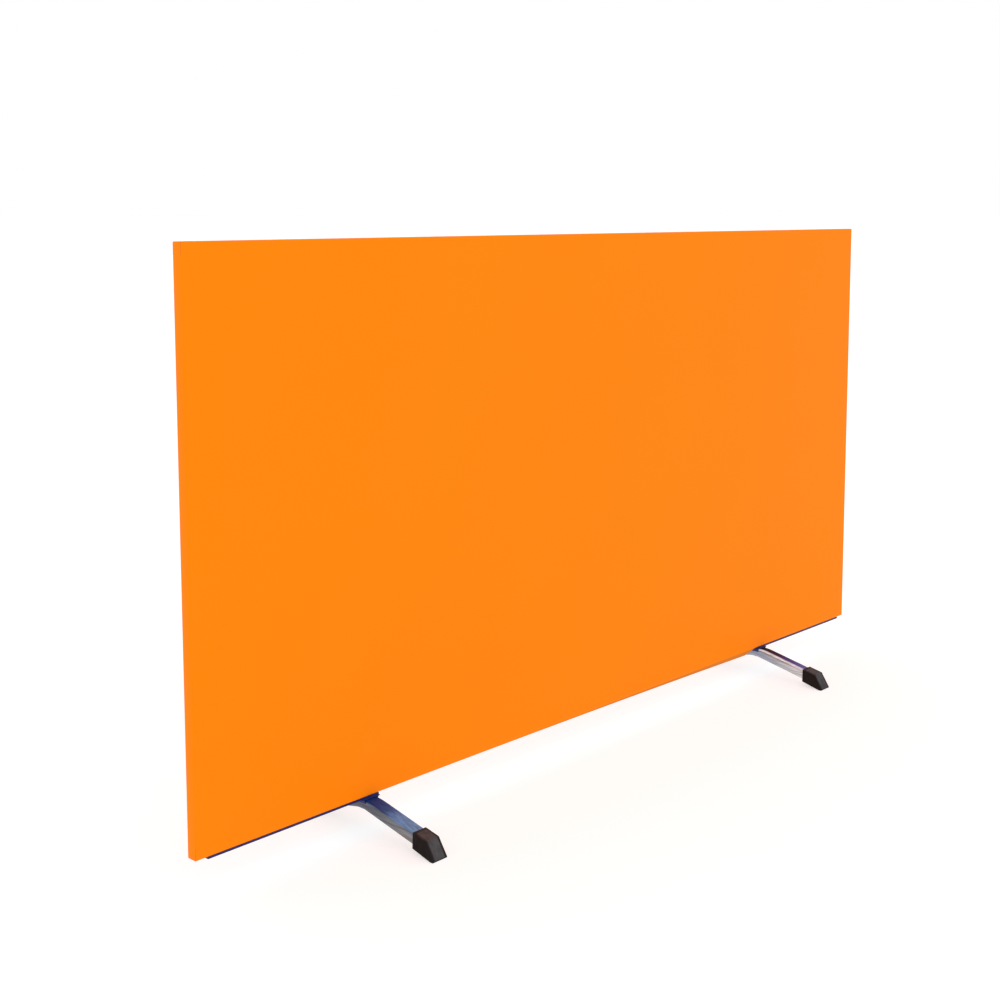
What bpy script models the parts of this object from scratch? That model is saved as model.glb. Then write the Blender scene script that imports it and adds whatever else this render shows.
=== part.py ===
"""Free-standing welding curtain screen: a low, wide tube frame covered by one orange PVC curtain,
standing on two plated tube feet that swivel in line with the frame for storage.

Metres, +Z up.  X runs along the panel, the front faces -Y, and the origin is on the floor under
the panel's middle.  Left and right are as seen from the front.
"""
import math

import bmesh
import bpy
from mathutils import Vector

# ---- Panel: the outside of the covered frame
PANEL_WIDTH = 2.448
PANEL_HEIGHT = 1.218
PANEL_UNDERSIDE = 0.082          # lowest line of the curtain above the floor

# ---- Clearances
FIT_GAP = 0.0003                 # between faces that touch
HOLE_PLAY = 0.0003               # round a screw or bolt, on the radius

# ---- Curtain: a face sheet, and an edge band welded along each of its four sides
CURTAIN_THICKNESS = 0.0005
CURTAIN_RETURN = 0.020           # how far a band returns over the back of the frame

# ---- Frame of square tube
FRAME_TUBE = 0.025
FRAME_WALL = 0.0015
FRAME_CORNER_RADIUS = 0.0025
UPRIGHT_OFFSET = 0.4067          # each inner upright from the panel's middle
SPIGOT_LENGTH = 0.040            # block spigot inside a tube
TEE_FLANGE = 0.003

# ---- Screws that hold the blocks, and those that hold the foot plates
SCREW_HEAD_RADIUS = 0.0042
SCREW_HEAD_HEIGHT = 0.0024
SCREW_SHANK_RADIUS = 0.0020
SCREW_LENGTH = 0.010             # shank under the head
BLOCK_SCREW_INSET = 0.018        # screw from the end of its tube

# ---- Foot plates, screwed under the bottom rail
FOOT_OFFSET = 0.765              # each foot from the panel's middle
PLATE_THICKNESS = 0.0040
PLATE_SETBACK = 0.0003           # plate's long edges back from the curtain's faces
PLATE_END_MARGIN = 0.030         # plate short of the panel's end
PLATE_SCREW_COUNT = 3

# ---- Saddle, which caps the foot's crown
SADDLE_THICKNESS = 0.0012
SADDLE_CHEEK = 0.0014            # wall beside the leg
SADDLE_DROP = 0.0085             # how far the cheeks reach down
SADDLE_FLARE = 0.0050            # radius where the cheeks meet the top
SADDLE_LIP = 0.0006
SADDLE_LENGTH = 0.033

# ---- Foot: one rectangular tube, bent down each way from its crown
LEG_WIDTH = 0.0350
LEG_HEIGHT = 0.0260              # square across the tube
LEG_WALL = 0.0016
LEG_CORNER_RADIUS = 0.0040
LEG_SLOPE_DEG = 12.1
LEG_REACH = 0.203                # tube end from the pivot
CROWN_FLAT = 0.022               # pressed flat under the crown, for the bolt's head
CROWN_PRESS = 0.0064             # how far the crown's top is pressed down
BEND_SOFTNESS = 0.0030

# ---- Rubber shoe on each end of a foot
SHOE_START = 0.168               # inner end from the pivot
SHOE_COVER_TOP = 0.0030          # rubber over the leg
SHOE_COVER_BOTTOM = 0.0060
SHOE_SIDE_TOP = 0.0022           # rubber beside the leg, at its top
SHOE_SIDE_BOTTOM = 0.0040
SHOE_TOP_END = 0.208             # where the top meets the raked end
SHOE_TOE = 0.2320                # furthest point
SHOE_TOE_HEIGHT = 0.0022
SHOE_PAD = 0.0090                # flat that rests on the floor
SHOE_ROUNDING = 0.0020

# ---- Pivot bolt, washer and lock nut
BOLT_RADIUS = 0.0050
BOLT_HEAD_RADIUS = 0.0100
BOLT_HEAD_HEIGHT = 0.0045
BOLT_TAIL = 0.0015               # thread showing above the nut
WASHER_RADIUS = 0.0100
WASHER_THICKNESS = 0.0020
NUT_ACROSS_FLATS = 0.0160
NUT_HEIGHT = 0.0080

# ---- Facets
ARC_STEPS = 3                    # per quarter turn of a tube's corner
ROUND_SIDES = 24                 # a multiple of 6, for the nut
SCREW_SIDES = 12
HOLE_TWIST = math.radians(4)     # keeps the facets of holes in a row out of line with each other

# ---- What follows from the sizes above
HALF_WIDTH = PANEL_WIDTH / 2
PANEL_TOP = PANEL_UNDERSIDE + PANEL_HEIGHT
COVER = CURTAIN_THICKNESS + FIT_GAP
PANEL_HALF_DEPTH = FRAME_TUBE / 2 + COVER
FRAME_HALF_WIDTH = HALF_WIDTH - COVER
FRAME_BOTTOM = PANEL_UNDERSIDE + COVER
FRAME_TOP = PANEL_TOP - COVER
SPIGOT_SIDE = FRAME_TUBE - 2 * FRAME_WALL - 2 * FIT_GAP

PLATE_TOP = PANEL_UNDERSIDE - FIT_GAP
SADDLE_TOP = PLATE_TOP - PLATE_THICKNESS - FIT_GAP
CROWN_TOP = SADDLE_TOP - SADDLE_THICKNESS - FIT_GAP
LEG_SLOPE = math.tan(math.radians(LEG_SLOPE_DEG))
LEG_RISE = LEG_HEIGHT / math.cos(math.radians(LEG_SLOPE_DEG))
RIDGE_TOP = CROWN_TOP + CROWN_PRESS
RIDGE_BOTTOM = RIDGE_TOP - LEG_RISE
WASHER_BOTTOM = FRAME_BOTTOM + FRAME_TUBE + FIT_GAP
NUT_BOTTOM = WASHER_BOTTOM + WASHER_THICKNESS + FIT_GAP
BOLT_TIP = NUT_BOTTOM + NUT_HEIGHT + BOLT_TAIL


# ---- Scene and materials

def clear_scene():
    for old_object in list(bpy.data.objects):
        bpy.data.objects.remove(old_object, do_unlink=True)


def make_material(name, color, roughness, metallic):
    material = bpy.data.materials.new(name)
    material.use_nodes = True
    shader = material.node_tree.nodes["Principled BSDF"]
    shader.inputs["Base Color"].default_value = (*color, 1.0)
    shader.inputs["Roughness"].default_value = roughness
    shader.inputs["Metallic"].default_value = metallic
    material.diffuse_color = (*color, 1.0)
    return material


def curtain_vinyl():
    return make_material("curtain_vinyl", (1.0, 0.246, 0.005), 0.45, 0.0)


def navy_powder_coat():
    return make_material("navy_powder_coat", (0.010, 0.009, 0.075), 0.40, 0.0)


def chrome_plate():
    return make_material("chrome_plate", (0.62, 0.64, 0.68), 0.16, 1.0)


def black_rubber():
    return make_material("black_rubber", (0.020, 0.018, 0.018), 0.70, 0.0)


def black_nylon():
    return make_material("black_nylon", (0.012, 0.012, 0.014), 0.50, 0.0)


def zinc_steel():
    return make_material("zinc_steel", (0.58, 0.58, 0.56), 0.35, 1.0)


# ---- Objects, bores and joint empties

def add_object(name, mesh, material, location=(0, 0, 0), turn=(0, 0, 0), parent=None):
    mesh.materials.append(material)
    solid = bpy.data.objects.new(name, mesh)
    bpy.context.scene.collection.objects.link(solid)
    solid.parent = parent
    solid.location = location
    solid.rotation_euler = turn
    return solid


def add_pivot(name, location):
    pivot = bpy.data.objects.new(name, None)
    bpy.context.scene.collection.objects.link(pivot)
    pivot.location = location
    return pivot


def cut_away(target, cutter):
    """Takes the cutter's shape out of the target."""
    cutter.hide_render = True
    cutter.display_type = "WIRE"
    boolean = target.modifiers.new(cutter.name, "BOOLEAN")
    boolean.operation = "DIFFERENCE"
    boolean.solver = "EXACT"
    boolean.object = cutter


def finish_mesh(bm, name, smooth_angle_deg=35):
    bmesh.ops.recalc_face_normals(bm, faces=bm.faces)
    mesh = bpy.data.meshes.new(name)
    bm.to_mesh(mesh)
    bm.free()
    mesh.shade_smooth()
    mesh.set_sharp_from_angle(angle=math.radians(smooth_angle_deg))
    return mesh


# ---- Mesh builders

def box_mesh(name, low, high):
    bm = bmesh.new()
    bmesh.ops.create_cube(bm, size=1.0)
    low = Vector(low)
    high = Vector(high)
    size = high - low
    for vert in bm.verts:
        for axis in range(3):
            vert.co[axis] = low[axis] + (vert.co[axis] + 0.5) * size[axis]
    return finish_mesh(bm, name)


def rounded_rectangle(width, height, radius):
    """Corner points of a rounded rectangle about the origin, anticlockwise."""
    points = []
    for quarter in range(4):
        centre_x = (width / 2 - radius) * (1 if quarter in (0, 3) else -1)
        centre_y = (height / 2 - radius) * (1 if quarter in (0, 1) else -1)
        for step in range(ARC_STEPS + 1):
            angle = math.pi / 2 * (quarter + step / ARC_STEPS)
            points.append((centre_x + radius * math.cos(angle), centre_y + radius * math.sin(angle)))
    return points


def circle_ring(radius, z, sides=ROUND_SIDES, twist=0.0):
    ring = []
    for side in range(sides):
        angle = 2 * math.pi * side / sides + twist
        ring.append((radius * math.cos(angle), radius * math.sin(angle), z))
    return ring


def hexagon_ring(across_flats, z):
    """A hexagon with as many points as circle_ring, so that the two can be joined."""
    sixth = math.pi / 3
    ring = []
    for side in range(ROUND_SIDES):
        angle = 2 * math.pi * side / ROUND_SIDES
        off_flat = (angle % sixth) - sixth / 2
        radius = across_flats / 2 / math.cos(off_flat)
        ring.append((radius * math.cos(angle), radius * math.sin(angle), z))
    return ring


def bridge_rings(bm, first, second):
    count = len(first)
    for index in range(count):
        following = (index + 1) % count
        bm.faces.new((first[index], first[following], second[following], second[index]))


def solid_loft(name, rings):
    bm = bmesh.new()
    loops = [[bm.verts.new(point) for point in ring] for ring in rings]
    for first, second in zip(loops, loops[1:]):
        bridge_rings(bm, first, second)
    bm.faces.new(loops[0])
    bm.faces.new(loops[-1])
    return finish_mesh(bm, name)


def hollow_loft(name, outer_rings, inner_rings):
    """A pipe along the rings, open at both ends."""
    bm = bmesh.new()
    outer = [[bm.verts.new(point) for point in ring] for ring in outer_rings]
    inner = [[bm.verts.new(point) for point in ring] for ring in inner_rings]
    for wall in (outer, inner):
        for first, second in zip(wall, wall[1:]):
            bridge_rings(bm, first, second)
    bridge_rings(bm, outer[0], inner[0])
    bridge_rings(bm, outer[-1], inner[-1])
    return finish_mesh(bm, name)


def turned_mesh(name, profile, sides=ROUND_SIDES, twist=0.0):
    """A solid of revolution about Z from (radius, z) pairs."""
    return solid_loft(name, [circle_ring(radius, z, sides, twist) for radius, z in profile])


# ---- Frame

def tube_mesh(name, length, along):
    """Square tube centred on the origin, with its length along X or Z."""
    outer_section = rounded_rectangle(FRAME_TUBE, FRAME_TUBE, FRAME_CORNER_RADIUS)
    bore = FRAME_TUBE - 2 * FRAME_WALL
    inner_section = rounded_rectangle(bore, bore, FIT_GAP)

    def ring(section, end):
        if along == "X":
            return [(end, u, v) for u, v in section]
        return [(u, v, end) for u, v in section]

    ends = (-length / 2, length / 2)
    return hollow_loft(name, [ring(outer_section, end) for end in ends],
                       [ring(inner_section, end) for end in ends])


def spigot_block_mesh(name, low, high, spigot_sides):
    """A block with a spigot raised on each of the named sides."""
    bm = bmesh.new()
    bmesh.ops.create_cube(bm, size=1.0)
    for vert in bm.verts:
        for axis in range(3):
            vert.co[axis] = low[axis] + (vert.co[axis] + 0.5) * (high[axis] - low[axis])
    for side in spigot_sides:
        face = max(bm.faces, key=lambda f: f.calc_center_median().dot(side))
        shoulder = (FRAME_TUBE - SPIGOT_SIDE) / 2
        bmesh.ops.inset_individual(bm, faces=[face], thickness=shoulder, use_even_offset=True)
        raised = bmesh.ops.extrude_discrete_faces(bm, faces=[face])["faces"][0]
        bmesh.ops.translate(bm, verts=raised.verts, vec=side * SPIGOT_LENGTH)
    return finish_mesh(bm, name)


def screw_mesh(name):
    """Pan-head screw: the head stands on z = 0, the shank hangs below."""
    head = SCREW_HEAD_HEIGHT
    profile = [
        (SCREW_HEAD_RADIUS * 0.45, head),
        (SCREW_HEAD_RADIUS * 0.80, head * 0.80),
        (SCREW_HEAD_RADIUS, head * 0.40),
        (SCREW_HEAD_RADIUS, FIT_GAP),
        (SCREW_SHANK_RADIUS, FIT_GAP),
        (SCREW_SHANK_RADIUS, -SCREW_LENGTH),
    ]
    return turned_mesh(name, profile, SCREW_SIDES)


def add_screw(name, seat, turn, held_pieces):
    """A screw whose head rests at the point seat, and its hole through the pieces it holds."""
    add_object(name, screw_mesh(name), zinc_steel(), seat, turn)
    radius = SCREW_SHANK_RADIUS + HOLE_PLAY
    profile = [(radius, SCREW_HEAD_HEIGHT), (radius, -SCREW_LENGTH - FIT_GAP)]
    hole_mesh = turned_mesh(name + "_hole", profile, SCREW_SIDES, HOLE_TWIST)
    cutter = add_object(name + "_hole", hole_mesh, zinc_steel(), seat, turn)
    for piece in held_pieces:
        cut_away(piece, cutter)


def build_frame():
    navy = navy_powder_coat()
    nylon = black_nylon()
    half = FRAME_TUBE / 2
    rail_length = 2 * (FRAME_HALF_WIDTH - FRAME_TUBE - FIT_GAP)
    post_length = FRAME_TOP - FRAME_BOTTOM - 2 * (FRAME_TUBE + FIT_GAP)
    middle = (FRAME_TOP + FRAME_BOTTOM) / 2
    rails = {
        "bottom": add_object("bottom_rail", tube_mesh("bottom_rail", rail_length, "X"), navy,
                             (0, 0, FRAME_BOTTOM + half)),
        "top": add_object("top_rail", tube_mesh("top_rail", rail_length, "X"), navy,
                          (0, 0, FRAME_TOP - half)),
    }
    posts = {}
    for side, sign in (("left", -1), ("right", 1)):
        name = side + "_post"
        posts[side] = add_object(name, tube_mesh(name, post_length, "Z"), navy,
                                 (sign * (FRAME_HALF_WIDTH - half), 0, middle))

    for side, sign in (("left", -1), ("right", 1)):
        for level, rise in (("bottom", 1), ("top", -1)):
            add_corner(side, sign, level, rise, rails[level], posts[side], nylon)
        add_upright(side, sign, rails, navy, nylon)
    return rails


def add_corner(side, sign, level, rise, rail, post, nylon):
    """Corner block with one spigot in the rail and one in the post, each held by a screw."""
    half = FRAME_TUBE / 2
    name = f"{level}_{side}_corner_block"
    centre_x = sign * (FRAME_HALF_WIDTH - half)
    centre_z = FRAME_BOTTOM + half if level == "bottom" else FRAME_TOP - half
    block_mesh = spigot_block_mesh(name, (-half,) * 3, (half,) * 3,
                                   (Vector((-sign, 0, 0)), Vector((0, 0, rise))))
    block = add_object(name, block_mesh, nylon, (centre_x, 0, centre_z))
    reach = half + FIT_GAP + BLOCK_SCREW_INSET
    rail_seat = (centre_x - sign * reach, 0, centre_z + rise * half)
    rail_turn = (0 if rise > 0 else math.pi, 0, 0)
    add_screw(f"{level}_{side}_rail_screw", rail_seat, rail_turn, (rail, block))
    post_seat = (centre_x - sign * half, 0, centre_z + rise * reach)
    post_turn = (0, -sign * math.pi / 2, 0)
    add_screw(f"{level}_{side}_post_screw", post_seat, post_turn, (post, block))


def add_upright(side, sign, rails, navy, nylon):
    """Inner upright between the rails, on a tee block at each end."""
    half = FRAME_TUBE / 2
    name = side + "_upright"
    x = sign * UPRIGHT_OFFSET
    bottom = FRAME_BOTTOM + FRAME_TUBE + TEE_FLANGE + 2 * FIT_GAP
    top = FRAME_TOP - FRAME_TUBE - TEE_FLANGE - 2 * FIT_GAP
    upright = add_object(name, tube_mesh(name, top - bottom, "Z"), navy, (x, 0, (bottom + top) / 2))
    for level, rise, end in (("bottom", 1, bottom), ("top", -1, top)):
        name = f"{level}_{side}_tee_block"
        low = (-half, -half, min(0, -rise * TEE_FLANGE))
        high = (half, half, max(0, -rise * TEE_FLANGE))
        block_mesh = spigot_block_mesh(name, low, high, (Vector((0, 0, rise)),))
        block = add_object(name, block_mesh, nylon, (x, 0, end - rise * FIT_GAP))
        seat = (x, half, end + rise * BLOCK_SCREW_INSET)
        add_screw(f"{level}_{side}_upright_screw", seat, (-math.pi / 2, 0, 0), (upright, block))


# ---- Curtain

def edge_band_mesh(name, length):
    """L-section along X with mitred ends: the panel's edge lies on z = 0, its inside upwards."""
    front = FIT_GAP + CURTAIN_THICKNESS - PANEL_HALF_DEPTH
    back = PANEL_HALF_DEPTH
    skin = CURTAIN_THICKNESS
    section = [(front, 0), (back, 0), (back, CURTAIN_RETURN), (back - skin, CURTAIN_RETURN),
               (back - skin, skin), (front, skin)]
    return solid_loft(name, [[(end * (length / 2 - FIT_GAP - depth), y, depth) for y, depth in section]
                             for end in (-1, 1)])


def build_curtain():
    """Face sheet over the front, and four bands round the edges that return over the back.

    Returns the bottom band, which the feet are fastened through.
    """
    vinyl = curtain_vinyl()
    middle = (PANEL_TOP + PANEL_UNDERSIDE) / 2
    face_mesh = box_mesh("curtain", (-HALF_WIDTH, -PANEL_HALF_DEPTH, PANEL_UNDERSIDE - middle),
                         (HALF_WIDTH, CURTAIN_THICKNESS - PANEL_HALF_DEPTH, PANEL_TOP - middle))
    add_object("curtain", face_mesh, vinyl, (0, 0, middle))
    edges = {
        "bottom": (PANEL_WIDTH, (0, 0, PANEL_UNDERSIDE), 0),
        "left": (PANEL_HEIGHT, (-HALF_WIDTH, 0, middle), math.pi / 2),
        "top": (PANEL_WIDTH, (0, 0, PANEL_TOP), math.pi),
        "right": (PANEL_HEIGHT, (HALF_WIDTH, 0, middle), -math.pi / 2),
    }
    bands = {}
    for edge, (length, place, turn) in edges.items():
        name = f"curtain_{edge}_band"
        bands[edge] = add_object(name, edge_band_mesh(name, length), vinyl, place, (0, turn, 0))
    return bands["bottom"]


# ---- Feet

def soft_max(first, second):
    """The larger of two lengths, with the corner between them rounded."""
    return (first + second + math.hypot(first - second, BEND_SOFTNESS)) / 2


def leg_underside(reach):
    return RIDGE_BOTTOM - LEG_SLOPE * soft_max(reach, CROWN_FLAT / 2)


def leg_top(reach):
    return -soft_max(-CROWN_TOP, LEG_SLOPE * reach - RIDGE_TOP)


def leg_ring(y, growth):
    """The leg's section at y, grown outwards, or inwards if growth is negative."""
    low = leg_underside(abs(y)) - growth
    high = leg_top(abs(y)) + growth
    radius = max(LEG_CORNER_RADIUS + growth, FIT_GAP)
    section = rounded_rectangle(LEG_WIDTH + 2 * growth, high - low, radius)
    return [(u, y, v + (low + high) / 2) for u, v in section]


def leg_mesh(name):
    bend = CROWN_FLAT / 2
    press_end = CROWN_PRESS / LEG_SLOPE
    reaches = [0.0, bend - BEND_SOFTNESS, bend, bend + BEND_SOFTNESS * 2]
    reaches += [press_end + BEND_SOFTNESS * step for step in (-4, -1, 1, 4)]
    reaches += [LEG_REACH]
    stations = [-reach for reach in reversed(reaches[1:])] + reaches
    return hollow_loft(name, [leg_ring(y, 0.0) for y in stations],
                       [leg_ring(y, -LEG_WALL) for y in stations])


def saddle_mesh(name):
    """Cap over the crown: a flat top, flared into a cheek down each side of the leg."""
    inner = LEG_WIDTH / 2 + FIT_GAP
    outer = inner + SADDLE_CHEEK
    under = SADDLE_TOP - SADDLE_THICKNESS
    low = SADDLE_TOP - SADDLE_DROP
    half_outline = [(outer + SADDLE_FLARE + SADDLE_LIP, SADDLE_TOP),
                    (outer + SADDLE_FLARE + SADDLE_LIP, under)]
    for step in range(2 * ARC_STEPS + 1):
        angle = math.pi / 2 * (1 + step / (2 * ARC_STEPS))
        half_outline.append((outer + SADDLE_FLARE * (1 + math.cos(angle)),
                             under - SADDLE_FLARE * (1 - math.sin(angle))))
    half_outline += [(outer, low), (inner, low), (inner, under)]
    outline = half_outline + [(-x, z) for x, z in reversed(half_outline)]
    ends = (-SADDLE_LENGTH / 2, SADDLE_LENGTH / 2)
    return solid_loft(name, [[(x, y, z) for x, z in outline] for y in ends])


def shoe_mesh(name):
    """Wedge that stands on its toe: side outline in Y and Z, narrower towards the top."""
    top_start = leg_top(SHOE_START) + SHOE_COVER_TOP
    top_end = leg_top(SHOE_TOP_END) + SHOE_COVER_TOP
    outline = [
        (SHOE_START, top_start),
        (SHOE_TOP_END, top_end),
        (SHOE_TOE, SHOE_TOE_HEIGHT),
        (SHOE_TOE - SHOE_TOE_HEIGHT / 2, 0.0),
        (SHOE_TOE - SHOE_PAD, 0.0),
        (SHOE_START, leg_underside(SHOE_START) - SHOE_COVER_BOTTOM),
    ]

    def half_width(z):
        share = z / top_start
        return LEG_WIDTH / 2 + SHOE_SIDE_BOTTOM + (SHOE_SIDE_TOP - SHOE_SIDE_BOTTOM) * share

    return solid_loft(name, [[(side * half_width(z), y, z) for y, z in outline] for side in (-1, 1)])


def add_shoe(name, turn, pivot):
    shoe = add_object(name, shoe_mesh(name), black_rubber(), turn=turn, parent=pivot)
    bevel = shoe.modifiers.new("rounding", "BEVEL")
    bevel.width = SHOE_ROUNDING
    bevel.segments = 2
    pocket_rings = [leg_ring(y, FIT_GAP) for y in (SHOE_START - SHOE_PAD, LEG_REACH + FIT_GAP)]
    pocket_mesh = solid_loft(name + "_pocket", pocket_rings)
    cut_away(shoe, add_object(name + "_pocket", pocket_mesh, black_rubber(), turn=turn, parent=pivot))


def build_foot(side, sign, rail, band):
    pivot = add_pivot(side + "_foot_pivot", (sign * FOOT_OFFSET, 0, 0))
    leg = add_object(side + "_foot_leg", leg_mesh(side + "_foot_leg"), chrome_plate(), parent=pivot)
    saddle = add_object(side + "_foot_saddle", saddle_mesh(side + "_foot_saddle"),
                        navy_powder_coat(), parent=pivot)
    add_shoe(side + "_front_shoe", (0, 0, math.pi), pivot)
    add_shoe(side + "_rear_shoe", (0, 0, 0), pivot)
    plate = build_foot_plate(side, sign, rail, band)
    build_pivot_bolt(side, sign, (leg, saddle, plate, rail, band))


def build_foot_plate(side, sign, rail, band):
    """Flat bar under the bottom rail, from the foot out towards the panel's end."""
    name = side + "_foot_plate"
    saddle_half = LEG_WIDTH / 2 + FIT_GAP + SADDLE_CHEEK + SADDLE_FLARE + SADDLE_LIP
    inner_end = FOOT_OFFSET - saddle_half
    outer_end = HALF_WIDTH - PLATE_END_MARGIN
    ends = sorted((sign * inner_end, sign * outer_end))
    half_depth = PANEL_HALF_DEPTH - PLATE_SETBACK
    plate_mesh = box_mesh(name, (ends[0], -half_depth, PLATE_TOP - PLATE_THICKNESS),
                          (ends[1], half_depth, PLATE_TOP))
    plate = add_object(name, plate_mesh, navy_powder_coat())
    first_screw = FOOT_OFFSET + 2 * saddle_half
    last_screw = FRAME_HALF_WIDTH - FRAME_TUBE - SPIGOT_LENGTH - FRAME_TUBE / 2
    for number in range(PLATE_SCREW_COUNT):
        x = first_screw + (last_screw - first_screw) * number / (PLATE_SCREW_COUNT - 1)
        seat = (sign * x, 0, PLATE_TOP - PLATE_THICKNESS)
        add_screw(f"{side}_plate_screw_{number + 1}", seat, (math.pi, 0, 0), (plate, band, rail))
    return plate


def build_pivot_bolt(side, sign, held_pieces):
    """Cup-head bolt up through the foot and the rail, with a washer and a lock nut on the rail."""
    steel = zinc_steel()
    place = (sign * FOOT_OFFSET, 0, 0)
    seat = leg_underside(BOLT_HEAD_RADIUS) - FIT_GAP
    head_low = seat - BOLT_HEAD_HEIGHT
    bolt_profile = [
        (BOLT_HEAD_RADIUS * 0.35, head_low),
        (BOLT_HEAD_RADIUS * 0.75, seat - BOLT_HEAD_HEIGHT * 0.75),
        (BOLT_HEAD_RADIUS, seat - BOLT_HEAD_HEIGHT * 0.30),
        (BOLT_HEAD_RADIUS, seat),
        (BOLT_RADIUS, seat),
        (BOLT_RADIUS, BOLT_TIP),
    ]
    bolt_name = side + "_pivot_bolt"
    add_object(bolt_name, turned_mesh(bolt_name, bolt_profile), steel, place)

    hole_radius = BOLT_RADIUS + HOLE_PLAY
    cutter_mesh = turned_mesh(bolt_name + "_hole", [(hole_radius, head_low), (hole_radius, BOLT_TIP)],
                              twist=HOLE_TWIST)
    cutter = add_object(bolt_name + "_hole", cutter_mesh, steel, place)
    for piece in held_pieces:
        cut_away(piece, cutter)

    washer_name = side + "_pivot_washer"
    washer_levels = (WASHER_BOTTOM, WASHER_BOTTOM + WASHER_THICKNESS)
    washer_mesh = hollow_loft(washer_name, [circle_ring(WASHER_RADIUS, z) for z in washer_levels],
                              [circle_ring(hole_radius, z) for z in washer_levels])
    add_object(washer_name, washer_mesh, steel, place)

    nut_name = side + "_pivot_nut"
    nut_levels = (NUT_BOTTOM, NUT_BOTTOM + NUT_HEIGHT)
    nut_mesh = hollow_loft(nut_name, [hexagon_ring(NUT_ACROSS_FLATS, z) for z in nut_levels],
                           [circle_ring(hole_radius, z) for z in nut_levels])
    add_object(nut_name, nut_mesh, steel, place)


clear_scene()
frame_rails = build_frame()
bottom_band = build_curtain()
for foot_side, foot_sign in (("left", -1), ("right", 1)):
    build_foot(foot_side, foot_sign, frame_rails["bottom"], bottom_band)
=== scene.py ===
"""Looks of a free-standing welding curtain screen.

A low, wide frame of square tube is covered by one stretched orange PVC sheet, and stands on two
plated tube feet with rubber shoes.  Metres, +Z up, the smooth front faces -Y.
"""
import math

import bmesh
import bpy
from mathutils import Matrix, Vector, noise


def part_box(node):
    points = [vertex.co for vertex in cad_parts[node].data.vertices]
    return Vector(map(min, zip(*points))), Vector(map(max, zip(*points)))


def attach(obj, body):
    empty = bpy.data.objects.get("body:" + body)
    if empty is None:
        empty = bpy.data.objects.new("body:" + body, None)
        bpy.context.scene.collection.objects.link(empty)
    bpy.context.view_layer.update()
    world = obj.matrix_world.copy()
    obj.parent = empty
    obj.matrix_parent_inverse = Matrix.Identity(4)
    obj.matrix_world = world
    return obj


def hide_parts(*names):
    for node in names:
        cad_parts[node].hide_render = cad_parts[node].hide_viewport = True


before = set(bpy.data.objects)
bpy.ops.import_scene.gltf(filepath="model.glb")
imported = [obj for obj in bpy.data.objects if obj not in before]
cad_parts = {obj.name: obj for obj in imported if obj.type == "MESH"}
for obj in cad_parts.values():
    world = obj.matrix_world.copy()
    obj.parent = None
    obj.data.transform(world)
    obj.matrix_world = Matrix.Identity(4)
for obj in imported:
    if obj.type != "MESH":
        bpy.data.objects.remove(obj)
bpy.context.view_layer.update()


# ==== Rails, posts and inner uprights ==========================================================
# Square steel tube, cut square and powder-coated navy before the frame goes together.
# The coat has a fine orange-peel skin, dust on what faces up, and rubs from handling.

def add_node(tree, kind, inputs=None, **settings):
    """A new node; each input is given a plain value, or the socket that feeds it."""
    node = tree.nodes.new(kind)
    for name, value in settings.items():
        setattr(node, name, value)
    for name, value in (inputs or {}).items():
        if isinstance(value, bpy.types.NodeSocket):
            tree.links.new(value, node.inputs[name])
        else:
            node.inputs[name].default_value = value
    return node


def math_node(tree, operation, *values):
    """Result of a Math node on plain numbers or sockets."""
    return add_node(tree, "ShaderNodeMath", dict(enumerate(values)), operation=operation).outputs[0]


def ramp_node(tree, value, start, end, low=0.0, high=1.0):
    """The value's share of the way from start to end, eased, as a number from low to high."""
    sockets = {"Value": value, "From Min": start, "From Max": end, "To Min": low, "To Max": high}
    return add_node(tree, "ShaderNodeMapRange", sockets, interpolation_type="SMOOTHSTEP").outputs[0]


def mix_colors(tree, share, first, second, blend="MIX"):
    """The first colour where the share is 0, and blended with the second where it is 1."""
    sockets = {0: share, 6: first, 7: second}
    node = add_node(tree, "ShaderNodeMix", sockets, data_type="RGBA", blend_type=blend)
    return node.outputs[2]


def new_group(name, inputs, outputs):
    """Empty shader node group with number inputs, and outputs that are numbers."""
    group = bpy.data.node_groups.new(name, "ShaderNodeTree")
    for label, default in inputs.items():
        socket = group.interface.new_socket(label, in_out="INPUT", socket_type="NodeSocketFloat")
        socket.default_value = default
    for label in outputs:
        group.interface.new_socket(label, in_out="OUTPUT", socket_type="NodeSocketFloat")
    return group, group.nodes.new("NodeGroupInput").outputs, group.nodes.new("NodeGroupOutput").inputs


def object_place(tree):
    """The piece's own coordinates, in metres."""
    return add_node(tree, "ShaderNodeTexCoord").outputs["Object"]


def object_axes(tree):
    """The piece's own coordinates as separate numbers, read as ["X"], ["Y"] and ["Z"]."""
    return add_node(tree, "ShaderNodeSeparateXYZ", {0: object_place(tree)}).outputs


def upward_facing(tree):
    """1 on faces that look straight up, 0 on upright ones, -1 underneath."""
    normal = add_node(tree, "ShaderNodeNewGeometry").outputs["Normal"]
    return add_node(tree, "ShaderNodeSeparateXYZ", {0: normal}).outputs["Z"]


def object_noise(tree, scale, detail=2.0, stretch=None):
    """Noise on the piece's own coordinates, drawn out along an axis where a stretch is given."""
    place = object_place(tree)
    if stretch:
        place = add_node(tree, "ShaderNodeMapping", {"Vector": place, "Scale": stretch}).outputs[0]
    sockets = {"Vector": place, "Scale": scale, "Detail": detail}
    return add_node(tree, "ShaderNodeTexNoise", sockets).outputs["Fac"]


def make_grain_group():
    """Fine skin of a coating or moulding: Height for a bump, and Patches for slow changes."""
    group, given, result = new_group("fine_grain", {"Grains per Metre": 800.0, "Patches per Metre": 6.0},
                                     ("Height", "Patches"))
    group.links.new(object_noise(group, given["Grains per Metre"], 3.0), result["Height"])
    group.links.new(object_noise(group, given["Patches per Metre"], 4.0), result["Patches"])
    return group


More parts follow.
